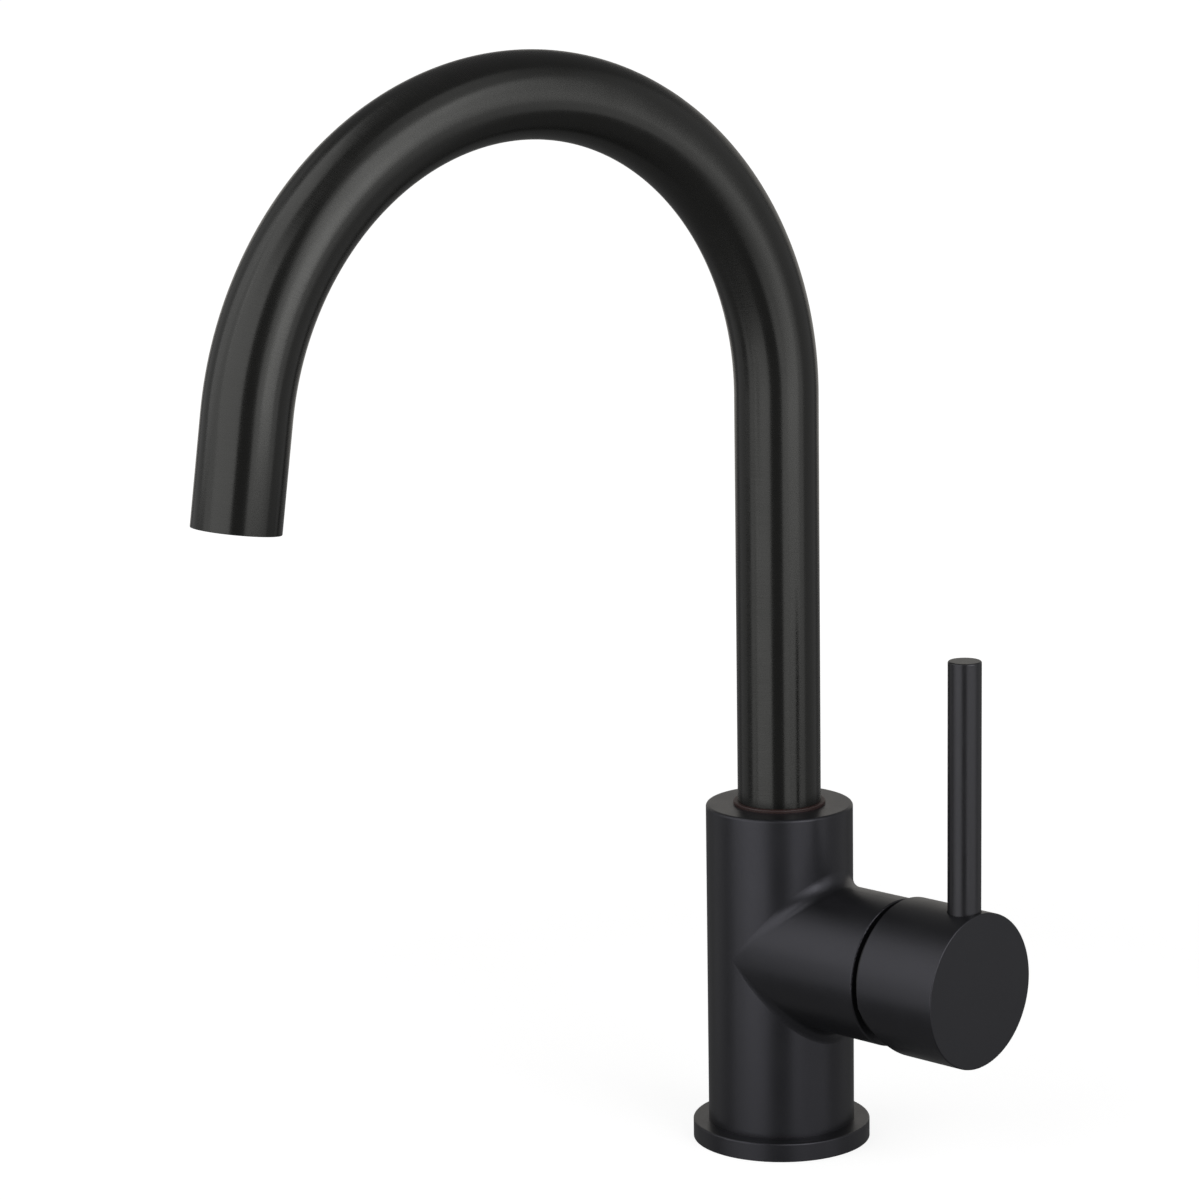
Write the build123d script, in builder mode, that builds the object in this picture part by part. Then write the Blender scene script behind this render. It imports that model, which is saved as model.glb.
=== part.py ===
from build123d import *
import os
from math import asin, atan2, cos, degrees, hypot, radians, sin, sqrt

# A tall single lever basin faucet: a column with a side branch that holds a ceramic disc
# cartridge, a swivelling gooseneck spout, and a drum handle with a straight lever pin.
# Millimetres, Z up. The origin is the middle of the base ring's underside, on the deck.
# The handle lies towards +X, and the basin lies towards -Y.

# Body casting
column_top = 106.0
branch_height = 61.0
branch_end = 47.3
branch_wall = 3.5
blend_radius = 4.5
collar_round = 0.9
edge_round = 0.5
foot_step = 3.5

# Base ring and its gasket
ring_ledge = 4.8
ring_height = 5.8
gasket_width = 4.0
gasket_thickness = 1.6

# Spout tube
tube_diameter = 25.4
tube_wall = 1.2
bend_start = 232.0
bend_radius = 95.4
bend_angle = 171.5
outlet_straight = 31.5
spout_heading = -98.3

# Spout swivel, read upwards from the floor of its socket
bush_wall = 0.9
bush_floor = 1.0
journal_length = 4.5
retaining_groove_width = 4.5
retaining_groove_depth = 1.9
swivel_land = 1.2
o_ring_groove_width = 2.4
o_ring_groove_depth = 1.35
upper_bush_length = 6.5
bush_lip_rise = 1.0
bush_lip_width = 0.4
spigot_tenon = 11.0
spigot_wall = 4.4
retaining_screw_radius = 2.05

# Waterways and deck fixings
inlet_port_radius = 4.46
inlet_port_depth = 11.0
inlet_port_spread = 7.0
inlet_x = 5.0
riser_radius = 2.6
riser_spread = 5.5
outlet_rise_x = -5.0
stud_radius = 3.95
stud_x = -13.0
stud_grip = 13.0
deck_thickness = 30.0
stud_tail = 18.0
washer_radius = 24.0
rubber_washer_thickness = 3.0
steel_washer_thickness = 2.0
hose_notch_radius = 12.5
hose_notch_x = 6.5
nut_across_flats = 13.0
nut_thickness = 6.5

# Mixing cartridge, read outwards from its seat in the branch
cartridge_diameter = 35.0
seal_stand = 0.3
cartridge_base_thickness = 3.7
fixed_disc_thickness = 3.5
moving_disc_thickness = 3.5
carrier_thickness = 4.4
rotor_flange_thickness = 4.3
housing_plate = 2.1
housing_wall = 2.0
base_rim = 1.4
base_rim_height = 2.0
carrier_rim = 1.0
upstand_height = 1.4
upstand_length = 7.0
thread_step = 1.35
nut_length = 6.5
nut_bore_radius = 12.0
bonnet_spigot = 2.3
bonnet_flange = 1.7
bonnet_wall = 1.2
pivot_rise = 2.0
rotor_neck_radius = 10.9
rotor_neck_length = 8.1
rotor_slot_length = 16.0
peg_radius = 1.5
peg_length = 2.5
disc_inlet_radius = 2.3
disc_outlet_radius = 2.6
disc_inlet_spread = 4.4
disc_inlet_rise = 4.6
disc_outlet_drop = 3.8
chamber_width = 12.0
chamber_height = 8.0
chamber_drop = 3.2
chamber_corner = 2.0
chamber_depth = 1.8
seal_lip = 1.1
seal_depth = 1.0

# Lever
lift_travel = 22.0
shank_width = 8.0
ball_radius = 2.3
ball_arm = 10.0
spindle_neck_radius = 1.3
pivot_pin_radius = 1.75

# Handle drum and lever pin
handle_step = 1.1
handle_gap = 3.1
handle_front = 15.7
skirt_wall = 3.0
dome_gap = 1.6
tip_spare = 0.3
relief_spare = 1.0
handle_edge = 0.4
shank_engagement = 8.0
pin_diameter = 10.0
pin_rise = 99.2
pin_set_back = 6.1
pin_pocket = 2.6
pin_tenon_radius = 3.0
pin_tenon_length = 7.0
set_screw_radius = 2.5
set_screw_length = 7.5
set_screw_inset = 4.0
plug_radius = 3.1
plug_depth = 3.0

# Outlet fittings, read inwards from the tube's mouth
sleeve_wall = 0.7
sleeve_length = 14.0
sleeve_lip = 1.5
aerator_recess = 1.0
aerator_length = 10.0
aerator_wall = 0.9
honeycomb_thickness = 3.4
honeycomb_cell = 1.15
honeycomb_pitch = 2.55
screen_thickness = 0.4
screen_gap = 0.8
diffuser_thickness = 1.8

# Clearances
running_gap = 0.06
fit_gap = 0.05
slip_gap = 0.15
face_gap = 0.2
socket_hex = 2.5

# Places worked out across the branch's axis
cartridge_radius = cartridge_diameter / 2
cartridge_bore = cartridge_radius + slip_gap
thread_bore = cartridge_bore + thread_step
body_radius = thread_bore + branch_wall
housing_bore = cartridge_radius - housing_wall
disc_travel = ball_arm * sin(radians(lift_travel))
carrier_radius = housing_bore - disc_travel - face_gap
moving_disc_radius = carrier_radius - carrier_rim - fit_gap
fixed_disc_radius = housing_bore - base_rim - slip_gap
peg_spread = (fixed_disc_radius + cartridge_radius) / 2 - peg_radius
disc_ports = (
    (disc_inlet_spread, disc_inlet_rise, disc_inlet_radius),
    (-disc_inlet_spread, disc_inlet_rise, disc_inlet_radius),
    (0.0, -disc_outlet_drop, disc_outlet_radius),
)

# Places worked out along the branch's axis
seat_x = branch_end - (
    seal_stand
    + cartridge_base_thickness
    + fixed_disc_thickness
    + moving_disc_thickness
    + carrier_thickness
    + face_gap
    + rotor_flange_thickness
    + housing_plate
    + nut_length
    + 2 * face_gap
    + bonnet_spigot
)
base_back = seat_x + seal_stand
base_front = base_back + cartridge_base_thickness
fixed_front = base_front + fixed_disc_thickness
moving_front = fixed_front + moving_disc_thickness
carrier_front = moving_front + carrier_thickness
rotor_back = carrier_front + face_gap
plate_back = rotor_back + rotor_flange_thickness
housing_front = plate_back + housing_plate
nut_front = housing_front + nut_length
bonnet_back = branch_end - bonnet_spigot
pivot_x = housing_front + pivot_rise
ball_x = pivot_x - ball_arm

# Places worked out for the handle
handle_radius = body_radius + handle_step
skirt_bore = handle_radius - skirt_wall
rim_x = branch_end + handle_gap
dome_radius = hypot(rim_x - pivot_x, skirt_bore) - dome_gap
cavity_floor = pivot_x + dome_radius + 1.0
face_x = cavity_floor + handle_front
shank_end = cavity_floor + shank_engagement
pin_x = face_x - pin_set_back
pin_seat = branch_height + handle_radius - pin_pocket
pin_top = branch_height + pin_rise
set_screw_x = cavity_floor + set_screw_inset
shank_underside = branch_height - shank_width / 2
tipping = radians(lift_travel)
relief_drop = (
    handle_gap - tip_spare - (rim_x - pivot_x) * (1 - cos(tipping))
) / sin(tipping)
relief_angle = lift_travel + relief_spare
opening_turn = radians(lift_travel) + asin(shank_width / sqrt(2) / dome_radius)
bonnet_opening = dome_radius * sin(opening_turn)

# Places worked out for the spout and its swivel
tube_radius = tube_diameter / 2
tube_bore = tube_radius - tube_wall
bush_bore = tube_radius + running_gap
socket_radius = bush_bore + bush_wall
socket_depth = (
    bush_floor
    + journal_length
    + swivel_land
    + retaining_groove_width
    + 3 * swivel_land
    + 2 * o_ring_groove_width
    + 2 * face_gap
    + upper_bush_length
)
socket_floor = column_top - socket_depth
spigot_foot = socket_floor + bush_floor
retaining_low = spigot_foot + journal_length + swivel_land
retaining_middle = retaining_low + retaining_groove_width / 2
seal_groove_low = retaining_low + retaining_groove_width + swivel_land
seal_groove_pitch = o_ring_groove_width + swivel_land
tube_foot = seal_groove_low + 2 * seal_groove_pitch
upper_bush_foot = column_top - upper_bush_length
groove_floor_radius = tube_radius - retaining_groove_depth
seal_floor_radius = tube_radius - o_ring_groove_depth
spigot_bore = tube_radius - spigot_wall

# Places worked out for the base and the deck fixings
foot_radius = body_radius - foot_step
ring_radius = body_radius + ring_ledge
ring_bore = foot_radius + slip_gap
gasket_middle = (ring_bore + ring_radius) / 2
rubber_washer_top = -deck_thickness
steel_washer_top = rubber_washer_top - rubber_washer_thickness
mounting_nut_top = steel_washer_top - steel_washer_thickness
stud_foot = mounting_nut_top - nut_thickness - stud_tail

# Places worked out for the outlet
sleeve_radius = tube_bore - fit_gap
sleeve_bore = sleeve_radius - sleeve_wall
aerator_radius = sleeve_bore - fit_gap
aerator_bore = aerator_radius - aerator_wall
insert_radius = aerator_bore - fit_gap
honeycomb_depth = aerator_recess + 0.4
screen_depth = honeycomb_depth + honeycomb_thickness + screen_gap
screen_pitch = screen_thickness + screen_gap
diffuser_depth = screen_depth + 2 * screen_pitch
sleeve_lip_depth = sleeve_length - sleeve_lip
aerator_back = aerator_recess + aerator_length

# Sketch planes
spout_direction = Vector(cos(radians(spout_heading)), sin(radians(spout_heading)), 0)
spout_plane = Plane(
    origin=(0, 0, 0), x_dir=spout_direction, z_dir=spout_direction.cross(Vector(0, 0, 1))
)
branch_axis = Axis((0, 0, branch_height), (1, 0, 0))
branch_section = Plane(origin=(0, 0, branch_height), x_dir=(1, 0, 0), z_dir=(0, -1, 0))


def across_branch(x):
    """Plane square to the branch at x, facing the handle, its own x towards +Y and y up"""
    return Plane(origin=(x, 0, branch_height), x_dir=(0, 1, 0), z_dir=(1, 0, 0))


def facing_rear(y, z, x=0.0):
    """Plane square to Y at height z, facing +Y"""
    return Plane(origin=(x, y, z), x_dir=(1, 0, 0), z_dir=(0, 1, 0))


def round_bar(plane, length, outer, inner=0.0, places=((0, 0),), mode=Mode.ADD):
    """Extrude bars of radius outer from plane along its normal, with a bore where inner is given"""
    with BuildSketch(plane) as outline:
        with Locations(*places):
            Circle(outer)
            if inner:
                Circle(inner, mode=Mode.SUBTRACT)
    extrude(outline.sketch, amount=length, mode=mode)


def drill(plane, depth, radius, places=((0, 0),)):
    """Cut round holes from plane along its normal"""
    round_bar(plane, depth, radius, places=places, mode=Mode.SUBTRACT)


def hex_recess(plane, depth):
    """Cut a hexagon socket for a key, from plane along its normal"""
    with BuildSketch(plane) as outline:
        RegularPolygon(socket_hex / sqrt(3), 6)
    extrude(outline.sketch, amount=depth, mode=Mode.SUBTRACT)


# Faucet body: column, branch and foot spigot in one casting, with its bores
with BuildPart() as faucet_body:
    # Their seams lie on the column's flank and along the branch's top, where the blend
    # crosses them cleanly at any radius
    column_foot = Plane(origin=(0, 0, ring_height), x_dir=(0, 1, 0), z_dir=(0, 0, 1))
    branch_root = Plane(origin=(0, 0, branch_height), x_dir=(0, 0, 1), z_dir=(1, 0, 0))
    round_bar(column_foot, column_top - ring_height, body_radius)
    round_bar(branch_root, branch_end, body_radius)
    blend_room = column_top - branch_height - body_radius - collar_round
    joint_edges = faucet_body.edges().filter_by(GeomType.ELLIPSE)
    fillet(joint_edges, min(blend_radius, 0.9 * blend_room))
    fillet(faucet_body.faces().sort_by(Axis.Z)[-1].edges(), collar_round)
    fillet(faucet_body.faces().sort_by(Axis.X)[-1].edges(), edge_round)
    round_bar(Plane.XY, ring_height, foot_radius)
    # Spout socket and the hole of the screw that holds the spout down
    drill(Plane.XY.offset(socket_floor), socket_depth, socket_radius)
    screw_start = socket_radius - bush_wall
    drill(
        facing_rear(screw_start, retaining_middle),
        body_radius - screw_start,
        retaining_screw_radius + fit_gap,
    )
    # Cartridge bore, with the wider thread bore at its mouth
    drill(across_branch(seat_x), branch_end - seat_x, cartridge_bore)
    thread_start = housing_front - seal_depth / 2
    drill(across_branch(thread_start), branch_end - thread_start, thread_bore)
    drill(
        across_branch(seat_x - peg_length),
        peg_length,
        peg_radius + fit_gap,
        places=((peg_spread, 0), (-peg_spread, 0)),
    )
    # Hot and cold ways from the hose ports to the seat, and the mixed way up to the spout
    for side in (1, -1):
        drill(
            Plane.XY,
            inlet_port_depth,
            inlet_port_radius,
            places=((inlet_x, side * inlet_port_spread),),
        )
        drill(
            Plane.XY,
            branch_height + disc_inlet_rise,
            riser_radius,
            places=((inlet_x, side * riser_spread),),
        )
        drill(
            across_branch(inlet_x),
            seat_x - inlet_x,
            disc_inlet_radius,
            places=((side * disc_inlet_spread, disc_inlet_rise),),
        )
    drill(
        across_branch(outlet_rise_x),
        seat_x - outlet_rise_x,
        disc_outlet_radius,
        places=((0, -disc_outlet_drop),),
    )
    outlet_rise_foot = branch_height - disc_outlet_drop
    drill(
        Plane.XY.offset(outlet_rise_foot),
        socket_floor - outlet_rise_foot,
        disc_outlet_radius,
        places=((outlet_rise_x, 0),),
    )
    drill(Plane.XY, stud_grip, stud_radius + fit_gap, places=((stud_x, 0),))

# Base ring, with a groove underneath for the gasket
with BuildPart() as base_ring:
    round_bar(Plane.XY, ring_height, ring_radius)
    fillet(base_ring.edges().group_by(Axis.Z)[-1], edge_round)
    drill(Plane.XY, ring_height, ring_bore)
    round_bar(
        Plane.XY,
        gasket_thickness,
        gasket_middle + gasket_width / 2 + fit_gap,
        gasket_middle - gasket_width / 2 - fit_gap,
        mode=Mode.SUBTRACT,
    )

with BuildPart() as base_gasket:
    round_bar(
        Plane.XY,
        gasket_thickness,
        gasket_middle + gasket_width / 2,
        gasket_middle - gasket_width / 2,
    )

# Spout tube: one bent tube, from its foot in the socket to the outlet
with BuildLine(spout_plane) as spout_route:
    riser = Line((0, tube_foot), (0, bend_start))
    bend = CenterArc((bend_radius, bend_start), bend_radius, 180, -bend_angle)
    drop = Line(bend @ 1, (bend @ 1) + (bend % 1) * outlet_straight)

outlet_centre = drop @ 1
outlet_heading = drop % 1

with BuildPart() as spout_tube:
    with BuildSketch(Plane.XY.offset(tube_foot)):
        Circle(tube_radius)
        Circle(tube_bore, mode=Mode.SUBTRACT)
    sweep(path=spout_route.wire())
    mouth_face = spout_tube.faces().sort_by_distance(outlet_centre)[0]
    chamfer(mouth_face.outer_wire().edges(), tube_wall / 5)

# Spout spigot: the turned end under the tube, with its seal and retaining grooves
with BuildPart() as spout_spigot:
    round_bar(Plane.XY.offset(spigot_foot), tube_foot - spigot_foot, tube_radius)
    round_bar(Plane.XY.offset(tube_foot), spigot_tenon, tube_bore - fit_gap)
    chamfer(spout_spigot.edges().group_by(Axis.Z)[-1], edge_round)
    chamfer(spout_spigot.edges().group_by(Axis.Z)[0], edge_round)
    drill(Plane.XY.offset(spigot_foot), tube_foot + spigot_tenon - spigot_foot, spigot_bore)
    round_bar(
        Plane.XY.offset(retaining_low),
        retaining_groove_width,
        socket_radius,
        groove_floor_radius,
        mode=Mode.SUBTRACT,
    )
    for level in range(2):
        round_bar(
            Plane.XY.offset(seal_groove_low + level * seal_groove_pitch),
            o_ring_groove_width,
            socket_radius,
            seal_floor_radius,
            mode=Mode.SUBTRACT,
        )

# Spout O-rings, one in each seal groove
o_ring_section = socket_radius - fit_gap - seal_floor_radius
with BuildPart() as spout_o_rings:
    with BuildSketch(Plane.XZ):
        for level in range(2):
            o_ring_middle = seal_groove_low + level * seal_groove_pitch + o_ring_groove_width / 2
            with Locations((seal_floor_radius + o_ring_section / 2, o_ring_middle)):
                Circle(o_ring_section / 2)
    revolve(axis=Axis.Z)

# Spout bushes: the lower one also carries the spout's weight on its floor, and the upper one
# ends in a lip that stands on the column
with BuildPart() as lower_spout_bush:
    round_bar(
        Plane.XY.offset(socket_floor), bush_floor + journal_length, socket_radius - fit_gap
    )
    drill(Plane.XY.offset(socket_floor), bush_floor, spigot_bore)
    drill(Plane.XY.offset(spigot_foot), journal_length, bush_bore)

with BuildPart() as upper_spout_bush:
    round_bar(
        Plane.XY.offset(upper_bush_foot), upper_bush_length, socket_radius - fit_gap, bush_bore
    )
    round_bar(
        Plane.XY.offset(column_top), bush_lip_rise, socket_radius + bush_lip_width, bush_bore
    )
    fillet(upper_spout_bush.faces().sort_by(Axis.Z)[-1].outer_wire().edges(), bush_lip_width)

# Retaining screw: a grub screw from the rear, its dog point in the spigot's groove
with BuildPart() as spout_retaining_screw:
    dog_start = groove_floor_radius + 2 * face_gap
    thread_end = body_radius - edge_round
    round_bar(
        facing_rear(dog_start, retaining_middle),
        socket_radius - dog_start,
        retaining_screw_radius - face_gap,
    )
    round_bar(
        facing_rear(socket_radius, retaining_middle),
        thread_end - socket_radius,
        retaining_screw_radius,
    )
    hex_recess(facing_rear(thread_end - socket_hex, retaining_middle), socket_hex)


def inside_mouth(depth):
    """Plane at a depth inside the spout's mouth, facing into the tube"""
    return Plane(
        origin=outlet_centre - outlet_heading * depth,
        x_dir=spout_plane.z_dir,
        z_dir=-outlet_heading,
    )


# Outlet: a threaded sleeve in the tube's mouth and the aerator screwed into it
with BuildPart() as outlet_sleeve:
    round_bar(inside_mouth(0), sleeve_length, sleeve_radius, sleeve_bore)
    round_bar(
        inside_mouth(sleeve_lip_depth), sleeve_lip, sleeve_radius, aerator_bore - sleeve_wall
    )

with BuildPart() as aerator_housing:
    round_bar(inside_mouth(aerator_recess), aerator_length, aerator_radius, aerator_bore)
    lip_depth = honeycomb_depth - aerator_recess
    round_bar(
        inside_mouth(aerator_recess), lip_depth, aerator_radius, aerator_bore - aerator_wall / 2
    )
    # Key slots in the rim
    with BuildSketch(inside_mouth(aerator_recess)) as key_slots:
        with PolarLocations(aerator_radius, 8):
            Rectangle(aerator_wall, 2 * aerator_wall)
    extrude(key_slots.sketch, amount=lip_depth + aerator_wall, mode=Mode.SUBTRACT)

with BuildPart() as aerator_honeycomb:
    round_bar(inside_mouth(honeycomb_depth), honeycomb_thickness, insert_radius)
    rings = int((insert_radius - honeycomb_cell) / honeycomb_pitch)
    with BuildSketch(inside_mouth(honeycomb_depth)) as cells:
        RegularPolygon(honeycomb_cell, 6)
        for ring in range(1, rings + 1):
            with PolarLocations(ring * honeycomb_pitch, 6 * ring):
                RegularPolygon(honeycomb_cell, 6)
    extrude(cells.sketch, amount=honeycomb_thickness, mode=Mode.SUBTRACT)

with BuildPart() as aerator_screens:
    for level in range(2):
        round_bar(
            inside_mouth(screen_depth + level * screen_pitch), screen_thickness, insert_radius
        )

with BuildPart() as aerator_diffuser:
    round_bar(inside_mouth(diffuser_depth), diffuser_thickness, insert_radius)
    with BuildSketch(inside_mouth(diffuser_depth)) as jets:
        with PolarLocations(insert_radius * 0.7, 10):
            Circle(honeycomb_cell / 2)
    extrude(jets.sketch, amount=diffuser_thickness, mode=Mode.SUBTRACT)

with BuildPart() as aerator_seal:
    round_bar(
        inside_mouth(aerator_back),
        sleeve_lip_depth - aerator_back,
        aerator_radius,
        aerator_bore - sleeve_wall,
    )

# Cartridge base: carries the port seals behind, the disc seals in front, and two pegs
with BuildPart() as cartridge_base:
    round_bar(across_branch(base_back), cartridge_base_thickness, cartridge_radius)
    round_bar(
        across_branch(base_front),
        base_rim_height,
        housing_bore - fit_gap,
        housing_bore - base_rim,
    )
    round_bar(
        across_branch(base_back - peg_length + seal_stand),
        peg_length,
        peg_radius,
        places=((peg_spread, 0), (-peg_spread, 0)),
    )
    for y, z, radius in disc_ports:
        drill(across_branch(base_back), cartridge_base_thickness, radius, places=((y, z),))
        drill(across_branch(base_back), seal_depth, radius + seal_lip + fit_gap, places=((y, z),))
        drill(
            across_branch(base_front - seal_depth),
            seal_depth,
            radius + seal_lip + fit_gap,
            places=((y, z),),
        )

# Port seals stand proud of the base and press on the body; disc seals press on the ceramic
with BuildPart() as port_seals:
    for y, z, radius in disc_ports:
        round_bar(
            across_branch(seat_x),
            seal_stand + seal_depth,
            radius + seal_lip,
            radius,
            places=((y, z),),
        )

with BuildPart() as disc_seals:
    for y, z, radius in disc_ports:
        round_bar(
            across_branch(base_front - seal_depth),
            seal_depth,
            radius + seal_lip,
            radius,
            places=((y, z),),
        )

# Fixed ceramic disc, with the two inlets above and the outlet below
with BuildPart() as fixed_ceramic_disc:
    round_bar(across_branch(base_front), fixed_disc_thickness, fixed_disc_radius)
    for y, z, radius in disc_ports:
        drill(across_branch(base_front), fixed_disc_thickness, radius, places=((y, z),))

# Moving ceramic disc, with the mixing chamber sunk into its face
with BuildPart() as moving_ceramic_disc:
    round_bar(across_branch(fixed_front), moving_disc_thickness, moving_disc_radius)
    with BuildSketch(across_branch(fixed_front)) as chamber:
        with Locations((0, -chamber_drop)):
            RectangleRounded(chamber_width, chamber_height, chamber_corner)
    extrude(chamber.sketch, amount=chamber_depth, mode=Mode.SUBTRACT)

# Disc carrier: grips the moving disc, slides in the rotor's slot and takes the spindle's ball
with BuildPart() as disc_carrier:
    round_bar(across_branch(moving_front), carrier_thickness, carrier_radius)
    round_bar(
        across_branch(moving_front - carrier_rim),
        carrier_rim,
        carrier_radius,
        moving_disc_radius + fit_gap,
    )
    with BuildSketch(across_branch(carrier_front)) as upstand:
        Rectangle(shank_width, upstand_length)
    extrude(upstand.sketch, amount=upstand_height)
    ball_seat = ball_x - ball_radius - face_gap
    drill(
        across_branch(ball_seat),
        carrier_front + upstand_height - ball_seat,
        ball_radius + slip_gap,
    )
    mouth = disc_carrier.faces().sort_by(Axis.X)[-1].inner_wires()
    chamfer(mouth.edges(), edge_round)

# Cartridge housing: a cup over the discs, open in front for the rotor's neck
with BuildPart() as cartridge_housing:
    round_bar(across_branch(base_front), housing_front - base_front, cartridge_radius)
    fillet(cartridge_housing.faces().sort_by(Axis.X)[-1].edges(), edge_round)
    drill(across_branch(base_front), plate_back - base_front, housing_bore)
    drill(across_branch(plate_back), housing_plate, rotor_neck_radius + running_gap)

# Rotor: turns in the housing and carries the spindle on a cross pin
seal_groove_x = plate_back + housing_plate / 3
with BuildPart() as cartridge_rotor:
    round_bar(
        across_branch(rotor_back), rotor_flange_thickness - face_gap, housing_bore - face_gap
    )
    round_bar(
        across_branch(plate_back - face_gap), rotor_neck_length + face_gap, rotor_neck_radius
    )
    chamfer(cartridge_rotor.faces().sort_by(Axis.X)[-1].edges(), edge_round)
    with BuildSketch(across_branch(rotor_back)) as slot:
        Rectangle(shank_width + 2 * fit_gap, rotor_slot_length)
    extrude(
        slot.sketch,
        amount=rotor_flange_thickness + rotor_neck_length,
        mode=Mode.SUBTRACT,
    )
    drill(
        facing_rear(-rotor_neck_radius, branch_height, pivot_x),
        2 * rotor_neck_radius,
        pivot_pin_radius + fit_gap,
    )
    round_bar(
        across_branch(seal_groove_x),
        seal_depth,
        housing_bore,
        rotor_neck_radius - seal_depth,
        mode=Mode.SUBTRACT,
    )

with BuildPart() as rotor_seal:
    round_bar(
        across_branch(seal_groove_x + fit_gap),
        seal_depth - 2 * fit_gap,
        rotor_neck_radius,
        rotor_neck_radius - seal_depth + fit_gap,
    )

with BuildPart() as pivot_pin:
    pin_half = rotor_neck_radius - edge_round
    round_bar(
        facing_rear(-pin_half, branch_height, pivot_x), 2 * pin_half, pivot_pin_radius
    )
    chamfer(pivot_pin.edges().filter_by(GeomType.CIRCLE), edge_round / 2)

# Lever spindle: square shank, cross hole at the pivot, and a ball on a thin neck
with BuildPart() as lever_spindle:
    shank_start = pivot_x - pivot_pin_radius - 2.0
    with BuildSketch(across_branch(shank_start)) as shank:
        Rectangle(shank_width, shank_width)
    extrude(shank.sketch, amount=shank_end - shank_start)
    chamfer(lever_spindle.faces().sort_by(Axis.X)[-1].edges(), edge_round)
    chamfer(lever_spindle.faces().sort_by(Axis.X)[0].edges(), 2 * edge_round)
    round_bar(across_branch(ball_x), shank_start - ball_x, spindle_neck_radius)
    with Locations((ball_x, 0, branch_height)):
        Sphere(ball_radius)
    drill(
        facing_rear(-shank_width / 2, branch_height, pivot_x),
        shank_width,
        pivot_pin_radius + running_gap,
    )

# Cartridge nut: a ring nut that clamps the housing, with spanner slots in its front
with BuildPart() as cartridge_nut:
    round_bar(
        across_branch(housing_front), nut_length, thread_bore - fit_gap, nut_bore_radius
    )
    with BuildSketch(across_branch(nut_front - nut_length / 3)) as spanner_slots:
        with PolarLocations(nut_bore_radius, 6):
            Rectangle(2 * peg_length, 2 * peg_length)
    extrude(spanner_slots.sketch, amount=nut_length / 3, mode=Mode.SUBTRACT)

# Bonnet: a domed cover centred on the lever's pivot, so that the drum tips clear of it
inner_dome = dome_radius - bonnet_wall
bonnet_bore = thread_bore - fit_gap - bonnet_flange
with BuildPart() as cartridge_bonnet:
    with BuildSketch(branch_section):
        with BuildLine():
            outer_low = atan2(
                sqrt(dome_radius**2 - (branch_end - pivot_x) ** 2), branch_end - pivot_x
            )
            outer_high = asin(bonnet_opening / dome_radius)
            inner_high = asin(bonnet_opening / inner_dome)
            flange_front = branch_end + bonnet_flange - pivot_x
            inner_low = atan2(sqrt(inner_dome**2 - flange_front**2), flange_front)
            outer_arc = CenterArc(
                (pivot_x, 0),
                dome_radius,
                degrees(outer_low),
                degrees(outer_high - outer_low),
            )
            inner_arc = CenterArc(
                (pivot_x, 0),
                inner_dome,
                degrees(inner_high),
                degrees(inner_low - inner_high),
            )
            Line(outer_arc @ 1, inner_arc @ 0)
            Polyline(
                inner_arc @ 1,
                (branch_end + bonnet_flange, bonnet_bore),
                (bonnet_back, bonnet_bore),
                (bonnet_back, thread_bore - fit_gap),
                (branch_end, thread_bore - fit_gap),
                outer_arc @ 0,
            )
        make_face()
    revolve(axis=branch_axis)

# Handle drum: a cup with a solid front, relieved below so that it can tip
with BuildPart() as handle_cap:
    round_bar(across_branch(rim_x), face_x - rim_x, handle_radius)
    fillet(handle_cap.faces().sort_by(Axis.X)[-1].edges(), handle_edge)
    drill(across_branch(rim_x), cavity_floor - rim_x, skirt_bore)
    relief = Plane(
        origin=(rim_x, 0, branch_height - relief_drop),
        x_dir=(0, 1, 0),
        z_dir=(cos(radians(relief_angle)), 0, sin(radians(relief_angle))),
    )
    split(bisect_by=relief, keep=Keep.TOP)
    with BuildSketch(across_branch(cavity_floor)) as shank_socket:
        Rectangle(shank_width + 2 * fit_gap, shank_width + 2 * fit_gap)
    extrude(shank_socket.sketch, amount=shank_engagement + face_gap, mode=Mode.SUBTRACT)
    # Pocket and tapped hole for the lever pin
    drill(Plane.XY.offset(pin_seat), handle_radius, pin_diameter / 2 + slip_gap, ((pin_x, 0),))
    drill(
        Plane.XY.offset(pin_seat - pin_tenon_length - face_gap),
        pin_tenon_length + face_gap,
        pin_tenon_radius + fit_gap,
        ((pin_x, 0),),
    )
    # Set screw hole underneath, counterbored for its plug
    drum_bottom = branch_height - handle_radius
    drill(
        Plane.XY.offset(drum_bottom),
        shank_underside - drum_bottom,
        set_screw_radius + fit_gap,
        ((set_screw_x, 0),),
    )
    drill(Plane.XY.offset(drum_bottom), plug_depth, plug_radius + fit_gap, ((set_screw_x, 0),))

# Lever pin: screwed into the drum by its tenon, its foot sunk in the pocket
with BuildPart() as lever_pin:
    round_bar(Plane.XY.offset(pin_seat), pin_top - pin_seat, pin_diameter / 2, places=((pin_x, 0),))
    fillet(lever_pin.edges().group_by(Axis.Z)[-1], edge_round)
    round_bar(
        Plane.XY.offset(pin_seat - pin_tenon_length),
        pin_tenon_length,
        pin_tenon_radius,
        places=((pin_x, 0),),
    )
    chamfer(lever_pin.edges().group_by(Axis.Z)[0], edge_round)

with BuildPart() as handle_set_screw:
    screw_foot = shank_underside - set_screw_length
    round_bar(
        Plane.XY.offset(screw_foot), set_screw_length, set_screw_radius, places=((set_screw_x, 0),)
    )
    hex_recess(Plane(origin=(set_screw_x, 0, screw_foot)), socket_hex)

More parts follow.
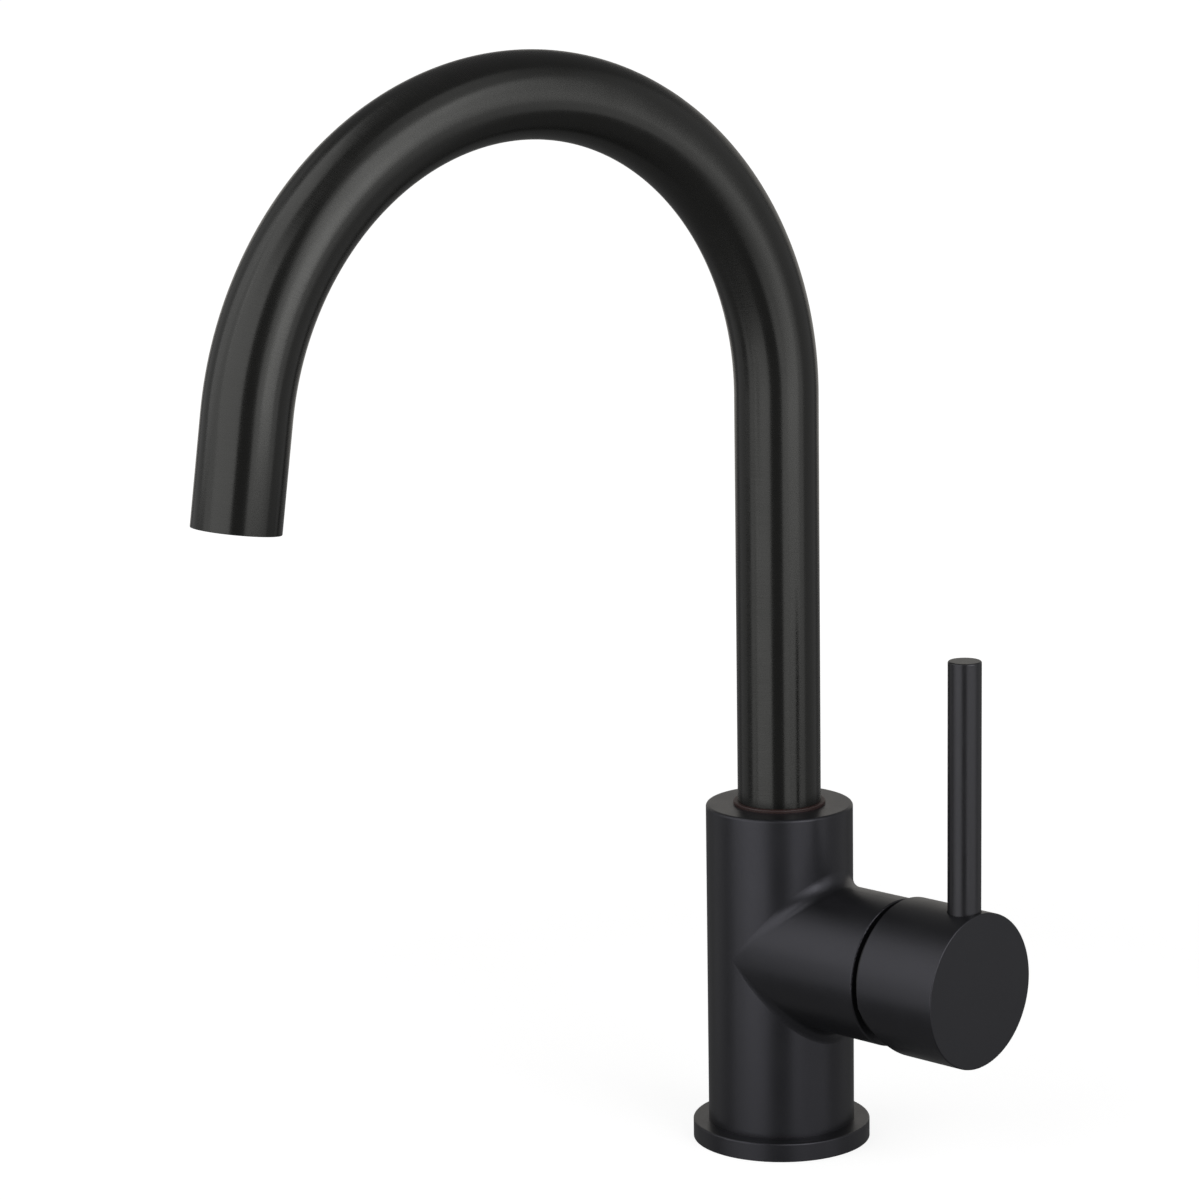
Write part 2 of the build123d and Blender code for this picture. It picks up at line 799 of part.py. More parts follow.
# Plug: closes the set screw's hole, its face turned to the drum's own curve
with BuildPart() as set_screw_plug:
    round_bar(
        Plane.XY.offset(drum_bottom), plug_depth, plug_radius, places=((set_screw_x, 0),)
    )
    with BuildSketch(across_branch(set_screw_x - 2 * plug_radius)) as drum_outline:
        Circle(handle_radius - fit_gap)
    extrude(drum_outline.sketch, amount=4 * plug_radius, mode=Mode.INTERSECT)

# Deck fixings: a stud in the body's foot, two horseshoe washers and a nut below the deck
with BuildPart() as mounting_stud:
    round_bar(
        Plane.XY.offset(stud_foot), stud_grip - stud_foot, stud_radius, places=((stud_x, 0),)
    )
    chamfer(mounting_stud.edges().filter_by(GeomType.CIRCLE), 2 * edge_round)


def horseshoe(top, thickness):
    """Build a washer with a notch that lets the hoses past"""
    with BuildSketch(Plane.XY.offset(top - thickness)) as outline:
        Circle(washer_radius)
        with Locations((hose_notch_x, 0)):
            Circle(hose_notch_radius, mode=Mode.SUBTRACT)
        with Locations((hose_notch_x + washer_radius / 2, 0)):
            Rectangle(washer_radius, 2 * hose_notch_radius, mode=Mode.SUBTRACT)
        with Locations((stud_x, 0)):
            Circle(stud_radius + slip_gap, mode=Mode.SUBTRACT)
    extrude(outline.sketch, amount=thickness)


with BuildPart() as rubber_horseshoe_washer:
    horseshoe(rubber_washer_top, rubber_washer_thickness)

with BuildPart() as steel_horseshoe_washer:
    horseshoe(steel_washer_top, steel_washer_thickness)

with BuildPart() as mounting_nut:
    with BuildSketch(Plane.XY.offset(mounting_nut_top - nut_thickness)) as nut_outline:
        with Locations((stud_x, 0)):
            RegularPolygon(nut_across_flats / sqrt(3), 6)
            Circle(stud_radius + fit_gap, mode=Mode.SUBTRACT)
    extrude(nut_outline.sketch, amount=nut_thickness)

pieces = {
    "faucet_body": faucet_body,
    "base_ring": base_ring,
    "base_gasket": base_gasket,
    "spout_tube": spout_tube,
    "spout_spigot": spout_spigot,
    "spout_o_rings": spout_o_rings,
    "lower_spout_bush": lower_spout_bush,
    "upper_spout_bush": upper_spout_bush,
    "spout_retaining_screw": spout_retaining_screw,
    "outlet_sleeve": outlet_sleeve,
    "aerator_housing": aerator_housing,
    "aerator_honeycomb": aerator_honeycomb,
    "aerator_screens": aerator_screens,
    "aerator_diffuser": aerator_diffuser,
    "aerator_seal": aerator_seal,
    "cartridge_base": cartridge_base,
    "port_seals": port_seals,
    "disc_seals": disc_seals,
    "fixed_ceramic_disc": fixed_ceramic_disc,
    "moving_ceramic_disc": moving_ceramic_disc,
    "disc_carrier": disc_carrier,
    "cartridge_housing": cartridge_housing,
    "cartridge_rotor": cartridge_rotor,
    "rotor_seal": rotor_seal,
    "pivot_pin": pivot_pin,
    "lever_spindle": lever_spindle,
    "cartridge_nut": cartridge_nut,
    "cartridge_bonnet": cartridge_bonnet,
    "handle_cap": handle_cap,
    "lever_pin": lever_pin,
    "handle_set_screw": handle_set_screw,
    "set_screw_plug": set_screw_plug,
    "mounting_stud": mounting_stud,
    "rubber_horseshoe_washer": rubber_horseshoe_washer,
    "steel_horseshoe_washer": steel_horseshoe_washer,
    "mounting_nut": mounting_nut,
}
os.makedirs("parts", exist_ok=True)
for name, piece in pieces.items():
    piece.part.label = name
    export_step(piece.part, f"parts/{name}.step")
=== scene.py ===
"""Looks of a tall matte black basin faucet with a side lever and a swivelling gooseneck spout.

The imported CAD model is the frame. The classes below dress its nodes, build the pieces whose
finish or form needs more than the solids give, and set up the studio and the camera.
"""

from __future__ import annotations

import logging
import math
from dataclasses import dataclass, field, fields
from enum import Enum

import bmesh
import bpy
from mathutils import Matrix, Vector

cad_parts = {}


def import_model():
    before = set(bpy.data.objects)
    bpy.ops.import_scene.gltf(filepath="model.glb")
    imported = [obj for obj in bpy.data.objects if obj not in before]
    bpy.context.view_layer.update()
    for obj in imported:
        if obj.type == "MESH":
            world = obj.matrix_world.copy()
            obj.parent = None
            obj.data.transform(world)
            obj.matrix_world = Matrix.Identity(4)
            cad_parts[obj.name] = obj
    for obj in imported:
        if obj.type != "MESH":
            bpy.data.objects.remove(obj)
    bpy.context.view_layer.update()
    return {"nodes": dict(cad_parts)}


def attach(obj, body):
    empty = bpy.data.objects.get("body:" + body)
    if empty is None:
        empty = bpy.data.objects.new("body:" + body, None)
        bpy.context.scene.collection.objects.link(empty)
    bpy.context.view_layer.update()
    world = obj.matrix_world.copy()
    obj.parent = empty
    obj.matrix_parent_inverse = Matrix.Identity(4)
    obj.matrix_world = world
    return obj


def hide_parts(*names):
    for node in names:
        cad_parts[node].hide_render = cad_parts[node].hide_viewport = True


log = logging.getLogger("faucet")

MM = 0.001

# Most values of a noise lie between these two
NOISE_LOW = 0.3
NOISE_HIGH = 0.7

# Cosine between the true and the rounded normal where an edge begins and where it is full
EDGE_BEGINS = 0.998
EDGE_FULL = 0.93

# Vertices nearer than the first are one vertex, and heights nearer than the second are equal
WELD = 1e-7
LEVEL = 1e-6

# One pitch of a thread: how far out from its root and how far up, as shares
THREAD_OUTLINE = ((0, 0.0), (0, 0.125), (1, 0.4375), (1, 0.5625), (0, 0.875), (0, 1.0))

Colour = tuple[float, float, float]
Point = tuple[float, float, float]


class Lay(Enum):
    """Direction in which a worked surface carries its fine lines."""

    NONE = "none"
    ALONG_Z = "along z"
    UNWRAPPED = "unwrapped"


class Shading:
    """Short way to lay out the nodes of one material."""

    def __init__(self, name: str) -> None:
        """Start a material with a Principled shader.

        Args:
            name: Name of the material.
        """
        self.material = bpy.data.materials.new(name)
        self.material.use_nodes = True
        self.tree = self.material.node_tree
        self.shader = self.tree.nodes["Principled BSDF"]
        self.place = self.node("ShaderNodeTexCoord").outputs["Object"]

    def node(self, kind: str, **settings: object) -> bpy.types.Node:
        """Add a node.

        Args:
            kind: Type name of the node.
            settings: Properties to set on it.

        Returns:
            The new node.
        """
        made = self.tree.nodes.new(kind)
        for key, value in settings.items():
            setattr(made, key, value)
        return made

    def link(self, source: bpy.types.NodeSocket, target: bpy.types.NodeSocket) -> None:
        """Join two sockets."""
        self.tree.links.new(source, target)

    def noise(
        self,
        size: float,
        detail: float = 2.0,
        stretch: Point = (1.0, 1.0, 1.0),
        place: bpy.types.NodeSocket | None = None,
    ) -> bpy.types.NodeSocket:
        """Add a noise of a given feature size.

        Args:
            size: Width of one feature, in metres.
            detail: Octaves of finer noise.
            stretch: How much longer a feature is along each axis.
            place: Coordinates to read, the object's own where left out.

        Returns:
            The noise's value, from 0 to 1.
        """
        mapping = self.node("ShaderNodeMapping")
        mapping.inputs["Scale"].default_value = [1.0 / (size * s) for s in stretch]
        self.link(place or self.place, mapping.inputs["Vector"])
        noise = self.node("ShaderNodeTexNoise")
        noise.inputs["Scale"].default_value = 1.0
        noise.inputs["Detail"].default_value = detail
        self.link(mapping.outputs["Vector"], noise.inputs["Vector"])
        return noise.outputs["Fac"]

    def spread(
        self, value: bpy.types.NodeSocket, low: float, high: float
    ) -> bpy.types.NodeSocket:
        """Map the common values of a noise onto a range.

        Args:
            value: Value of the noise.
            low: Result where the noise is low.
            high: Result where it is high.

        Returns:
            The mapped value.
        """
        mapped = self.node("ShaderNodeMapRange", interpolation_type="SMOOTHSTEP")
        mapped.inputs["From Min"].default_value = NOISE_LOW
        mapped.inputs["From Max"].default_value = NOISE_HIGH
        mapped.inputs["To Min"].default_value = low
        mapped.inputs["To Max"].default_value = high
        self.link(value, mapped.inputs["Value"])
        return mapped.outputs["Result"]

    def edges(self, width: float) -> bpy.types.NodeSocket:
        """Find the edges of a piece.

        Args:
            width: How far in from the edge the mark reaches, in metres.

        Returns:
            0 on flat ground and up to 1 on an edge.
        """
        bevel = self.node("ShaderNodeBevel", samples=4)
        bevel.inputs["Radius"].default_value = width
        ground = self.node("ShaderNodeNewGeometry")
        facing = self.node("ShaderNodeVectorMath", operation="DOT_PRODUCT")
        self.link(bevel.outputs["Normal"], facing.inputs[0])
        self.link(ground.outputs["Normal"], facing.inputs[1])
        mask = self.node("ShaderNodeMapRange", interpolation_type="SMOOTHSTEP")
        mask.inputs["From Min"].default_value = EDGE_BEGINS
        mask.inputs["From Max"].default_value = EDGE_FULL
        self.link(facing.outputs["Value"], mask.inputs["Value"])
        return mask.outputs["Result"]

    def colour(self, amount: bpy.types.NodeSocket, first: Colour, second: Colour) -> None:
        """Give the surface a mix of two colours.

        Args:
            amount: 0 for the first colour and 1 for the second.
            first: Linear red, green and blue.
            second: Linear red, green and blue.
        """
        mix = self.node("ShaderNodeMix", data_type="RGBA")
        mix.inputs["A"].default_value = (*first, 1.0)
        mix.inputs["B"].default_value = (*second, 1.0)
        self.link(amount, mix.inputs["Factor"])
        self.link(mix.outputs["Result"], self.shader.inputs["Base Color"])

    def add(
        self, first: bpy.types.NodeSocket, second: bpy.types.NodeSocket, share: float = 1.0
    ) -> bpy.types.NodeSocket:
        """Add a share of one value to another.

        Args:
            first: Value taken whole.
            second: Value of which a share is added.
            share: The share.

        Returns:
            The sum.
        """
        total = self.node("ShaderNodeMath", operation="MULTIPLY_ADD")
        self.link(second, total.inputs[0])
        total.inputs[1].default_value = share
        self.link(first, total.inputs[2])
        return total.outputs["Value"]

    def gloss(self, roughness: bpy.types.NodeSocket, edge: float, polish: float) -> None:
        """Make the surface as rough as a value says, and its edges smoother.

        Args:
            roughness: Roughness away from the edges.
            edge: How far in from an edge it is worn smoother, in metres.
            polish: How much less rough the edge is.
        """
        worn = self.add(roughness, self.edges(edge), -polish)
        self.link(worn, self.shader.inputs["Roughness"])

    def relief(self, height: bpy.types.NodeSocket, depth: float) -> None:
        """Bump the surface.

        Args:
            height: Height from 0 to 1.
            depth: Depth that a height of 1 stands for, in metres.
        """
        bump = self.node("ShaderNodeBump")
        bump.inputs["Strength"].default_value = 1.0
        bump.inputs["Distance"].default_value = depth
        self.link(height, bump.inputs["Height"])
        self.link(bump.outputs["Normal"], self.shader.inputs["Normal"])

    def set(self, **constants: object) -> None:
        """Set constants on the shader's own sockets, with _ for a space."""
        for key, value in constants.items():
            self.shader.inputs[key.replace("_", " ")].default_value = value


@dataclass(frozen=True)
class CoatedMetal:
    """Black coating over metal: fine orange peel, uneven gloss, edges rubbed a little.

    A brushed coat follows lines that run round the piece, so it spreads light along it.
    """

    name: str
    colour: Colour
    roughness: float
    # Painted light: a tint of the lamps' light, painted into the colour of the coat's
    # reflections
    painted_lamp_tint: Colour = (1.0, 1.0, 1.0)
    brushed: float = 0.0
    peel: float = 0.5 * MM
    peel_depth: float = 0.003 * MM
    lay: Lay = Lay.NONE
    ior: float = 1.5
    patch: float = 14 * MM
    mottle: float = 0.12
    lift: float = 0.0005
    uneven: float = 0.02
    edge: float = 0.5 * MM
    edge_polish: float = 0.06
    line_width: float = 0.22 * MM
    line_length: float = 70.0
    line_gloss: float = 0.03
    line_share: float = 0.5
    across_lines: float = 0.25

    def material(self) -> bpy.types.Material:
        """Make the material.

        Returns:
            The new material.
        """
        s = Shading(self.name)
        cloud = s.noise(self.patch, 3.0)
        grain = s.noise(self.peel)
        darker = tuple(c * (1 - self.mottle) for c in self.colour)
        lighter = tuple(c * (1 + self.mottle) + self.lift for c in self.colour)
        s.colour(cloud, darker, lighter)
        rough = s.spread(cloud, self.roughness - self.uneven, self.roughness + self.uneven)
        rough = s.add(rough, s.spread(grain, -self.uneven, self.uneven))
        height = grain
        if self.lay is Lay.UNWRAPPED:
            strip = s.node("ShaderNodeUVMap", uv_map="along").outputs["UV"]
            stretch = (self.line_length, 1.0, 1.0)
            lines = s.noise(self.line_width, stretch=stretch, place=strip)
            rough = s.add(rough, s.spread(lines, -self.line_gloss, self.line_gloss))
            height = s.add(grain, lines, self.line_share)
            run = s.node("ShaderNodeTangent", direction_type="UV_MAP", uv_map="along")
            s.link(run.outputs["Tangent"], s.shader.inputs["Tangent"])
            s.set(Anisotropic=self.brushed, Anisotropic_Rotation=self.across_lines)
        s.gloss(rough, self.edge, self.edge_polish)
        s.relief(height, self.peel_depth)
        # The specular tint is painted lamp colour: it tints every reflection the way the lamps'
        # light would
        s.set(IOR=self.ior, Specular_Tint=(*self.painted_lamp_tint, 1.0))
        return s.material


@dataclass(frozen=True)
class BareMetal:
    """Turned, drawn or rolled metal with the fine lines its making leaves."""

    name: str
    colour: Colour
    roughness: float
    lay: Lay = Lay.NONE
    line_width: float = 0.12 * MM
    line_length: float = 40.0
    line_depth: float = 0.004 * MM
    patch: float = 5 * MM
    stain: float = 0.18
    uneven: float = 0.08
    edge: float = 0.2 * MM
    edge_polish: float = 0.1

    def material(self) -> bpy.types.Material:
        """Make the material.

        Returns:
            The new material.
        """
        s = Shading(self.name)
        length = self.line_length if self.lay is Lay.ALONG_Z else 1.0
        lines = s.noise(self.line_width, 3.0, (1.0, 1.0, length))
        dull = tuple(c * (1 - self.stain) for c in self.colour)
        s.colour(s.noise(self.patch, 3.0), dull, self.colour)
        rough = s.spread(lines, self.roughness - self.uneven, self.roughness + self.uneven)
        s.gloss(rough, self.edge, self.edge_polish)
        s.relief(lines, self.line_depth)
        s.set(Metallic=1.0)
        return s.material


@dataclass(frozen=True)
class Moulded:
    """Moulded plastic, rubber or pressed ceramic, with a fine skin and a soft mottle."""

    name: str
    colour: Colour
    roughness: float
    skin: float = 0.35 * MM
    skin_depth: float = 0.006 * MM
    mottle: float = 0.08
    patch: float = 6 * MM
    uneven: float = 0.05
    edge: float = 0.2 * MM
    edge_polish: float = 0.05

    def material(self) -> bpy.types.Material:
        """Make the material.

        Returns:
            The new material.
        """
        s = Shading(self.name)
        skin = s.noise(self.skin, 3.0)
        low = tuple(c * (1 - self.mottle) for c in self.colour)
        high = tuple(min(1.0, c * (1 + self.mottle)) for c in self.colour)
        s.colour(s.noise(self.patch, 4.0), low, high)
        rough = s.spread(skin, self.roughness - self.uneven, self.roughness + self.uneven)
        s.gloss(rough, self.edge, self.edge_polish)
        s.relief(skin, self.skin_depth)
        return s.material


@dataclass(frozen=True)
class Palette:
    """The faucet's finishes."""

    # Each coat's specular tint is painted lamp colour, lilac on the casting and pin and warm on
    # the tube
    casting: CoatedMetal = CoatedMetal(
        "matte black casting", (0.0060, 0.0062, 0.0068), 0.35, painted_lamp_tint=(0.98, 0.97, 1.10)
    )
    tube: CoatedMetal = CoatedMetal(
        "satin black tube",
        (0.0050, 0.0050, 0.0047),
        0.265,
        painted_lamp_tint=(1.0, 1.0, 0.97),
        brushed=0.80,
        peel_depth=0.0007 * MM,
        lay=Lay.UNWRAPPED,
    )
    pin: CoatedMetal = CoatedMetal(
        "satin black pin", (0.0060, 0.0060, 0.0066), 0.33, painted_lamp_tint=(0.99, 0.98, 1.06)
    )
    cover: Moulded = Moulded("dark moulded cover", (0.010, 0.010, 0.011), 0.5)
    bush: Moulded = Moulded("red brown bush", (0.022, 0.0065, 0.0055), 0.5)
    rubber: Moulded = Moulded("black rubber", (0.016, 0.016, 0.016), 0.7, mottle=0.2)
    dark_plastic: Moulded = Moulded("dark moulded plastic", (0.03, 0.03, 0.032), 0.45)
    pale_plastic: Moulded = Moulded("pale moulded plastic", (0.70, 0.70, 0.68), 0.4)
    ceramic: Moulded = Moulded(
        "lapped ceramic", (0.84, 0.83, 0.79), 0.16, skin_depth=0.001 * MM, mottle=0.03
    )
    brass: BareMetal = BareMetal("turned brass", (0.72, 0.50, 0.22), 0.3)
    steel: BareMetal = BareMetal("plain steel", (0.56, 0.56, 0.57), 0.32)
    rod: BareMetal = BareMetal("threaded steel", (0.50, 0.50, 0.52), 0.36, Lay.ALONG_Z)


class Piece:
    """One new mesh piece, built in bmesh and finished with its material and its body."""

    def __init__(self, name: str) -> None:
        """Start an empty mesh.

        Args:
            name: Name of the piece.
        """
        self.name = name
        self.bm = bmesh.new()

    def band(
        self, first: list[bmesh.types.BMVert], second: list[bmesh.types.BMVert]
    ) -> list[bmesh.types.BMFace]:
        """Join two rings of equally many vertices with quads.

        Args:
            first: Vertices of one ring, in order.
            second: Vertices of the other, in the same order.

        Returns:
            The band's faces.
        """
        after_first = first[1:] + first[:1]
        after_second = second[1:] + second[:1]
        quads = zip(first, after_first, after_second, second)
        return [self.bm.faces.new(quad) for quad in quads]

    def finish(
        self,
        body: str,
        material: bpy.types.Material,
        slot: str,
        replaces: tuple[str, ...] = (),
        sharp: float = 30.0,
    ) -> bpy.types.Object:
        """Turn the bmesh into an object that rides on a body.

        Args:
            body: CAD body it rides on.
            material: Its material.
            slot: Not used; names the record's material slot it belongs to.
            replaces: CAD nodes it stands for.
            sharp: Angle in degrees from which an edge stays sharp.

        Returns:
            The finished object.
        """
        bmesh.ops.remove_doubles(self.bm, verts=self.bm.verts, dist=WELD)
        bmesh.ops.recalc_face_normals(self.bm, faces=self.bm.faces)
        for face in self.bm.faces:
            face.smooth = True
        mesh = bpy.data.meshes.new(self.name)
        self.bm.to_mesh(mesh)
        self.bm.free()
        mesh.set_sharp_from_angle(angle=math.radians(sharp))
        mesh.materials.append(material)
        made = bpy.data.objects.new(self.name, mesh)
        bpy.context.scene.collection.objects.link(made)
        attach(made, body)
        if replaces:
            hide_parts(*replaces)
        log.info("%s: %d faces on %s", self.name, len(mesh.polygons), body)
        return made


class Workshop:
    """What every sub-assembly shares: the CAD nodes and the materials."""

    def __init__(self, nodes: dict[str, bpy.types.Object]) -> None:
        """Make each material once.

        Args:
            nodes: The CAD nodes by name.
        """
        self.nodes = nodes
        palette = Palette()
        self.paint = {
            finish.name: getattr(palette, finish.name).material() for finish in fields(palette)
        }

    def dress(self, finish: str, *names: str) -> None:
        """Give CAD nodes a finish.

        Args:
            finish: Name of the finish in the palette.
            names: CAD nodes that take it.
        """
        for name in names:
            for slot in self.nodes[name].material_slots:
                slot.material = self.paint[finish]
            log.info("%s: %s", name, self.paint[finish].name)


@dataclass
class Spout:
    """Swivelling spout: bent tube, spigot, bushes and aerator."""

    shop: Workshop
    foot: float = 99.1 * MM
    bend_start: float = 232.0 * MM
    bend_radius: float = 95.4 * MM
    bend_angle: float = math.radians(171.5)
    straight: float = 31.5 * MM
    radius: float = 12.7 * MM
    wall: float = 1.2 * MM
    heading: float = math.radians(-98.3)
    sides: int = 96
    bend_steps: int = 120
    mouth_round: float = 0.2 * MM
    mouth_steps: int = 3
    rim_angle: float = 1.0

    def build(self) -> None:
        """Build and dress every piece of the spout."""
        self.tube()
        self.shop.dress("brass", "spout_spigot", "outlet_sleeve")
        self.shop.dress("rubber", "spout_o_rings", "aerator_seal")
        self.shop.dress("bush", "upper_spout_bush", "lower_spout_bush")
        self.shop.dress("dark_plastic", "aerator_housing")
        self.shop.dress("pale_plastic", "aerator_honeycomb", "aerator_diffuser")
        self.shop.dress("steel", "aerator_screens")

    def tube(self) -> bpy.types.Object:
        """Extrude and spin one hollow section along the riser, the bend and the drop.

        Returns:
            The tube.
        """
        piece = Piece("bent_spout_tube")
        bm = piece.bm
        rings = [
            bmesh.ops.create_circle(
                bm,
                segments=self.sides,
                radius=radius,
                matrix=Matrix.Translation((0, 0, self.foot)),
            )["verts"]
            for radius in (self.radius, self.radius - self.wall)
        ]
        section = piece.band(*rings)
        section = self.extrude(bm, section, Vector((0, 0, self.bend_start - self.foot)))
        out = Vector((math.cos(self.heading), math.sin(self.heading), 0))
        across = out.cross(Vector((0, 0, 1)))
        centre = out * self.bend_radius + Vector((0, 0, self.bend_start))
        spun = bmesh.ops.spin(
            bm,
            geom=section,
            cent=centre,
            axis=across,
            angle=-self.bend_angle,
            steps=self.bend_steps,
        )["geom_last"]
        section = [g for g in spun if isinstance(g, bmesh.types.BMFace)]
        turned = Matrix.Rotation(-self.bend_angle, 3, across)
        drop = turned @ Vector((0, 0, 1))
        self.extrude(bm, section, drop * self.straight)
        # Sections left inside the tube at the ends of the bend
        walls = [f for f in bm.faces if sum(len(e.link_faces) > 2 for e in f.edges) > 1]
        bmesh.ops.delete(bm, geom=walls, context="FACES")
        self.round_mouth(bm, drop)
        self.unwrap(bm, out, across, centre)
        return piece.finish(
            "spout", self.shop.paint["tube"], "satin_black_tube", ("spout_tube",)
        )

    @staticmethod
    def extrude(
        bm: bmesh.types.BMesh, faces: list[bmesh.types.BMFace], move: Vector
    ) -> list[bmesh.types.BMFace]:
        """Extrude a section.

        Args:
            bm: Mesh being built.
            faces: Faces of the section.
            move: How far and in which direction.

        Returns:
            The section's faces at the far end.
        """
        made = bmesh.ops.extrude_face_region(bm, geom=faces)["geom"]
        verts = [g for g in made if isinstance(g, bmesh.types.BMVert)]
        bmesh.ops.translate(bm, verts=verts, vec=move)
        return [g for g in made if isinstance(g, bmesh.types.BMFace)]

    def round_mouth(self, bm: bmesh.types.BMesh, drop: Vector) -> None:
        """Break the edges of the outlet.

        Args:
            bm: Mesh being built.
            drop: Direction in which the spout ends.
        """
        end = max(v.co.dot(drop) for v in bm.verts if v.co.y < -self.bend_radius)
        rim = [
            e
            for e in bm.edges
            if all(abs(v.co.dot(drop) - end) < LEVEL for v in e.verts)
            and e.calc_face_angle(0) > self.rim_angle
        ]
        bmesh.ops.bevel(
            bm,
            geom=rim,
            offset=self.mouth_round,
            offset_type="OFFSET",
            segments=self.mouth_steps,
            profile=0.5,
            affect="EDGES",
            material=-1,
        )

    def unwrap(
        self, bm: bmesh.types.BMesh, out: Vector, across: Vector, centre: Vector
    ) -> None:
        """Write a UV map in metres: round the tube, then along it.

        Args:
            bm: Mesh being built.
            out: Direction in which the spout reaches.
            across: Direction square to the spout's plane.
            centre: Centre of the bend.
        """
        layer = bm.loops.layers.uv.new("along")
        tilt = Vector((0, 0, math.cos(self.bend_angle))) + out * math.sin(self.bend_angle)
        outward = Vector((0, 0, math.sin(self.bend_angle))) - out * math.cos(self.bend_angle)
        bend_end = outward * self.bend_radius
        for face in bm.faces:
            middle = face.calc_center_median() - centre
            for loop in face.loops:
                arm = loop.vert.co - centre
                reach, rise = arm.dot(out), arm.z
                if middle.z < 0 and middle.dot(out) < 0:
                    along, height = rise, -reach - self.bend_radius
                elif (middle - bend_end).dot(tilt) > 0 and middle.dot(out) > 0:
                    along = self.bend_angle * self.bend_radius + (arm - bend_end).dot(tilt)
                    height = (arm - bend_end).dot(outward)
                else:
                    along = math.atan2(rise, -reach) * self.bend_radius
                    height = math.hypot(reach, rise) - self.bend_radius
                loop[layer].uv = (math.atan2(arm.dot(across), height) * self.radius, along)
            # A face over the seam gets one side of it
            rounds = [loop[layer].uv.x for loop in face.loops]
            if max(rounds) - min(rounds) > math.pi * self.radius:
                for loop in face.loops:
                    if loop[layer].uv.x < 0:
                        loop[layer].uv.x += 2 * math.pi * self.radius


@dataclass
class Casting:
    """Column with its branch, and the ring and gasket it stands on."""

    shop: Workshop

    def build(self) -> None:
        """Dress the casting and what is fixed to it."""
        self.shop.dress("casting", "faucet_body", "base_ring")
        self.shop.dress("rubber", "base_gasket")
        self.shop.dress("steel", "spout_retaining_screw")


@dataclass
class Lever:
    """Drum, pin and what fixes them to the spindle."""

    shop: Workshop

    def build(self) -> None:
        """Dress the lever."""
        self.shop.dress("casting", "handle_cap")
        self.shop.dress("pin", "lever_pin")
        self.shop.dress("steel", "handle_set_screw", "lever_spindle")
        self.shop.dress("rubber", "set_screw_plug")


@dataclass
class Cartridge:
    """Ceramic disc cartridge with its nut and cover."""

    shop: Workshop

    def build(self) -> None:
        """Dress the cartridge."""
        self.shop.dress("cover", "cartridge_bonnet")
        self.shop.dress("brass", "cartridge_nut")
        self.shop.dress(
            "pale_plastic",
            "cartridge_housing",
            "cartridge_rotor",
            "cartridge_base",
            "disc_carrier",
        )
        self.shop.dress("ceramic", "fixed_ceramic_disc", "moving_ceramic_disc")
        self.shop.dress("rubber", "port_seals", "disc_seals", "rotor_seal")
        self.shop.dress("steel", "pivot_pin")


